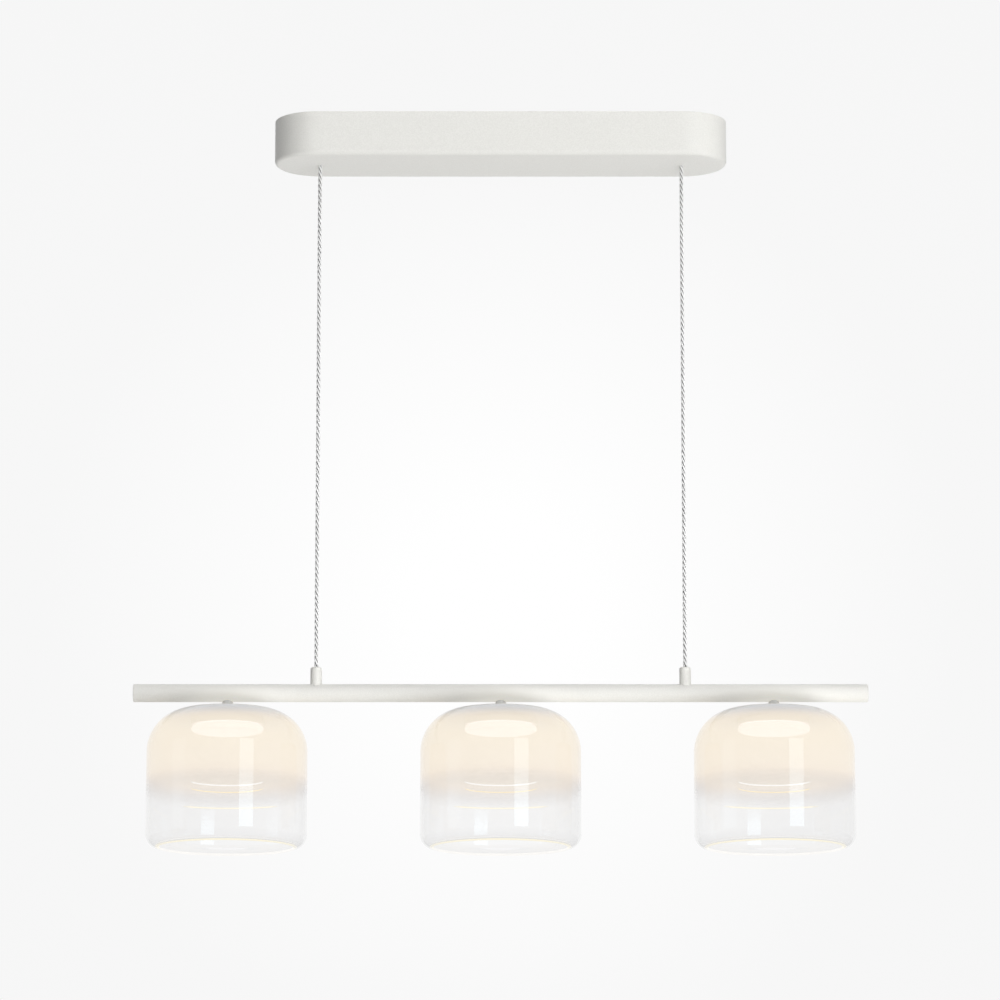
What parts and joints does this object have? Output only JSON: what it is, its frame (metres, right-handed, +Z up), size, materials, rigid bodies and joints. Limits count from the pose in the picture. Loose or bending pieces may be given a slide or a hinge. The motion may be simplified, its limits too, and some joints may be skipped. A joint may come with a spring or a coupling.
{
  "type": "linear island pendant",
  "caption": "Ceiling lamp with glass bell shades in a row under a round bar that hangs on cords from a long canopy with rounded ends.",
  "frame": {"origin": "middle of the mounting bracket's top face, on the ceiling, between its two screw slots", "axes": "+X along the bar and canopy, +Z up to the ceiling, -Y towards the viewer of the picture"},
  "size_m": [0.732, 0.16, 0.743],
  "materials": {
    "canopy_paint": "fine textured off-white powder coat",
    "bar_paint": "fine textured off-white powder coat",
    "zinc_steel": "zinc plated",
    "bushing_plastic": "moulded, off-white",
    "grip_plastic": "moulded nylon, pale grey",
    "driver_plastic": "moulded, white",
    "terminal_plastic": "moulded nylon, natural",
    "screw_brass": "turned",
    "lead_insulation": "flexible sleeving, white",
    "wire_insulation": "flexible sleeving, clear over tinned copper",
    "cord_braid": "three twisted strands, white",
    "ball_steel": "polished",
    "silicone": "soft, translucent white",
    "blown_glass": "clear, opal coated towards the top",
    "housing_aluminium": "white anodised",
    "board_white": "white board with light chips",
    "opal_acrylic": "opal, lit from inside",
    "clear_acrylic": "clear, polished"
  },
  "bodies": {
    "ceiling_mount": {"mounting_bracket": "zinc_steel", "canopy_cover": "canopy_paint", "canopy_set_screws": "zinc_steel", "canopy_nuts": "zinc_steel", "grip_nuts": "zinc_steel", "grip_screws": "zinc_steel", "led_driver": "driver_plastic", "driver_cover": "driver_plastic", "driver_screws": "zinc_steel", "mains_terminal": "terminal_plastic", "terminal_screws": "screw_brass", "earth_screw": "screw_brass", "mains_leads": "lead_insulation", "lamp_leads": "lead_insulation", "cord_bushing_left": "bushing_plastic", "cord_bushing_right": "bushing_plastic", "cord_anchor_left": "zinc_steel", "cord_anchor_right": "zinc_steel", "cord_grip_left": "grip_plastic", "cord_grip_right": "grip_plastic", "cord_tail_left": "cord_braid", "cord_tail_right": "cord_braid"},
    "cords": {"cord_left": "cord_braid", "cord_right": "cord_braid"},
    "cord_ends": {"cord_end_left": "ball_steel", "cord_end_right": "ball_steel"},
    "light_bar": {"bar_tube": "bar_paint", "end_plug_left": "bar_paint", "end_plug_right": "bar_paint", "bar_wire_positive": "wire_insulation", "bar_wire_negative": "wire_insulation", "upper_washers": "silicone", "lower_washers": "silicone", "stem_nuts": "zinc_steel", "board_screws": "zinc_steel", "diffuser_screws": "zinc_steel", "ferrule_left": "bar_paint", "ferrule_right": "bar_paint", "stem_1": "bar_paint", "glass_shade_1": "blown_glass", "glass_lip_1": "blown_glass", "lamp_housing_1": "housing_aluminium", "led_board_1": "board_white", "diffuser_1": "opal_acrylic", "inner_cup_1": "clear_acrylic", "stem_2": "bar_paint", "glass_shade_2": "blown_glass", "glass_lip_2": "blown_glass", "lamp_housing_2": "housing_aluminium", "led_board_2": "board_white", "diffuser_2": "opal_acrylic", "inner_cup_2": "clear_acrylic", "stem_3": "bar_paint", "glass_shade_3": "blown_glass", "glass_lip_3": "blown_glass", "lamp_housing_3": "housing_aluminium", "led_board_3": "board_white", "diffuser_3": "opal_acrylic", "inner_cup_3": "clear_acrylic"}
  },
  "joints": [
    {"name": "pendant_swing", "type": "hinge", "parent": "ceiling_mount", "child": "cords", "pos_m": [0, 0, -0.045], "axis": [1, 0, 0], "range_deg": [-15, 15], "deforming": ["cord_left", "cord_right"]},
    {"name": "height_adjust", "type": "slide", "parent": "cords", "child": "cord_ends", "axis": [0, 0, 1], "range_m": [0, 0.25], "deforming": ["cord_left", "cord_right"]},
    {"name": "bar_tilt", "type": "hinge", "parent": "cord_ends", "child": "light_bar", "pos_m": [0, 0, -0.5675], "axis": [1, 0, 0], "range_deg": [-10, 10]}
  ]
}
